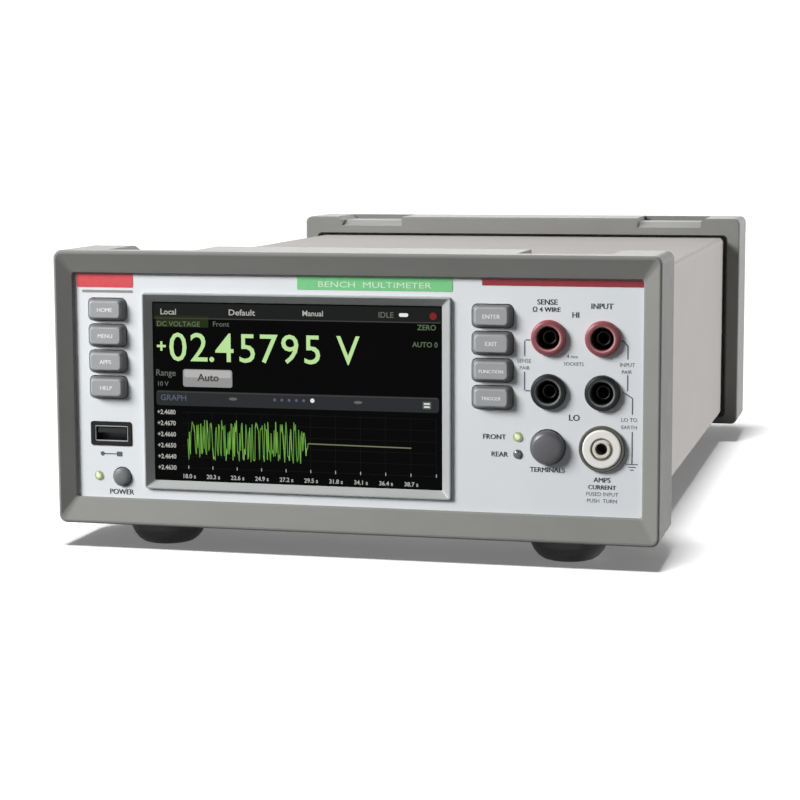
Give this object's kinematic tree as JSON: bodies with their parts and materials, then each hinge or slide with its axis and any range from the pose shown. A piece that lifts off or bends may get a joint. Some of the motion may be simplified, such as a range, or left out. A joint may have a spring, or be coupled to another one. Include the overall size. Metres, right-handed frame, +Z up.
{
  "type": "bench multimeter",
  "caption": "Half-rack bench multimeter with a colour touch screen, soft keys, shrouded test sockets, rubber end bumpers and a recessed rear connector panel.",
  "frame": {"origin": "centre of the overall box on the surface that the feet rest on", "axes": "+Z up, +Y from the front panel to the rear, +X to the right seen from the front"},
  "size_m": [0.224, 0.358, 0.1106],
  "materials": {
    "bumper_rubber": "matte moulded elastomer",
    "foot_rubber": "matte",
    "case_paint": "fine texture satin paint",
    "panel_plastic": "fine moulded texture",
    "bezel_plastic": "satin",
    "screen_glass": "glossy",
    "lcd": "matte",
    "pcb": "solder mask",
    "silicone": "matte translucent silicone",
    "key_rubber": "matte",
    "button_grey": "satin",
    "power_grey": "satin",
    "light_green": "translucent",
    "light_dark": "translucent",
    "black_plastic": "satin",
    "red_plastic": "satin",
    "jack_black": "satin",
    "brass": "turned",
    "steel": "brushed",
    "nickel": "plated",
    "zinc_sheet": "zinc plated sheet",
    "white_plastic": "satin",
    "holder_grey": "satin",
    "fuse_glass": "glazed",
    "winding": "polyester tape"
  },
  "bodies": {
    "chassis": {"amps_holder": "holder_grey", "amps_holder_nut": "nickel", "board_standoffs": "nickel", "case_cover": "case_paint", "chassis_tray": "zinc_sheet", "display_bezel": "bezel_plastic", "foot_screws": "steel", "front_board": "pcb", "front_bumper": "bumper_rubber", "front_panel": "panel_plastic", "front_subframe": "zinc_sheet", "front_terminals_light": "light_green", "ground_screw": "steel", "inlet_pins": "nickel", "input_hi_jack": "red_plastic", "input_lo_jack": "jack_black", "jack_contacts": "brass", "jack_nuts": "nickel", "keypad_membranes": "silicone", "lan_port": "nickel", "lcd_module": "lcd", "main_board": "pcb", "measurement_shield": "steel", "option_slot_cover": "zinc_sheet", "power_inlet": "black_plastic", "power_light": "light_green", "power_transformer": "winding", "rear_bumper": "bumper_rubber", "rear_hi_jacks": "red_plastic", "rear_jack_contacts": "brass", "rear_lo_jacks": "jack_black", "rear_panel": "zinc_sheet", "rear_terminals_light": "light_dark", "rubber_feet": "foot_rubber", "sense_hi_jack": "red_plastic", "sense_lo_jack": "jack_black", "slot_screws": "steel", "terminals_switch": "black_plastic", "touch_glass": "screen_glass", "transformer_clamp": "steel", "trigger_connectors": "nickel", "trigger_cores": "white_plastic", "usb_device_port": "nickel", "usb_host_port": "nickel", "usb_host_surround": "black_plastic"},
    "key_apps": {"key_apps": "key_rubber"},
    "key_enter": {"key_enter": "key_rubber"},
    "key_exit": {"key_exit": "key_rubber"},
    "key_function": {"key_function": "key_rubber"},
    "key_help": {"key_help": "key_rubber"},
    "key_home": {"key_home": "key_rubber"},
    "key_menu": {"key_menu": "key_rubber"},
    "key_trigger": {"key_trigger": "key_rubber"},
    "power_button": {"power_button": "power_grey"},
    "terminals_button": {"terminals_button": "button_grey", "terminals_pushrod": "black_plastic"},
    "amps_fuse": {"amps_fuse": "fuse_glass"},
    "amps_fuse_carrier": {"amps_fuse_carrier": "white_plastic"},
    "line_fuse_drawer": {"line_fuse_drawer": "black_plastic", "line_fuse": "fuse_glass"}
  },
  "joints": [
    {"name": "key_apps_press", "type": "slide", "parent": "chassis", "child": "key_apps", "axis": [0, 1, 0], "range_m": [0, 0.0008], "stiffness_N_per_m": 300},
    {"name": "key_enter_press", "type": "slide", "parent": "chassis", "child": "key_enter", "axis": [0, 1, 0], "range_m": [0, 0.0008], "stiffness_N_per_m": 300},
    {"name": "key_exit_press", "type": "slide", "parent": "chassis", "child": "key_exit", "axis": [0, 1, 0], "range_m": [0, 0.0008], "stiffness_N_per_m": 300},
    {"name": "key_function_press", "type": "slide", "parent": "chassis", "child": "key_function", "axis": [0, 1, 0], "range_m": [0, 0.0008], "stiffness_N_per_m": 300},
    {"name": "key_help_press", "type": "slide", "parent": "chassis", "child": "key_help", "axis": [0, 1, 0], "range_m": [0, 0.0008], "stiffness_N_per_m": 300},
    {"name": "key_home_press", "type": "slide", "parent": "chassis", "child": "key_home", "axis": [0, 1, 0], "range_m": [0, 0.0008], "stiffness_N_per_m": 300},
    {"name": "key_menu_press", "type": "slide", "parent": "chassis", "child": "key_menu", "axis": [0, 1, 0], "range_m": [0, 0.0008], "stiffness_N_per_m": 300},
    {"name": "key_trigger_press", "type": "slide", "parent": "chassis", "child": "key_trigger", "axis": [0, 1, 0], "range_m": [0, 0.0008], "stiffness_N_per_m": 300},
    {"name": "power_button_press", "type": "slide", "parent": "chassis", "child": "power_button", "axis": [0, 1, 0], "range_m": [0, 0.001], "stiffness_N_per_m": 300},
    {"name": "terminals_button_press", "type": "slide", "parent": "chassis", "child": "terminals_button", "axis": [0, 1, 0], "range_m": [0, 0.003], "stiffness_N_per_m": 300},
    {"name": "amps_carrier_push", "type": "slide", "parent": "chassis", "child": "amps_fuse", "axis": [0, 1, 0], "range_m": [0, 0.0015], "stiffness_N_per_m": 800},
    {"name": "amps_carrier_turn", "type": "hinge", "parent": "amps_fuse", "child": "amps_fuse_carrier", "pos_m": [0.09115, -0.17, 0.0428], "axis": [0, -1, 0], "range_deg": [0, 90]},
    {"name": "line_fuse_drawer_slide", "type": "slide", "parent": "chassis", "child": "line_fuse_drawer", "axis": [0, 1, 0], "range_m": [0, 0.015]}
  ]
}
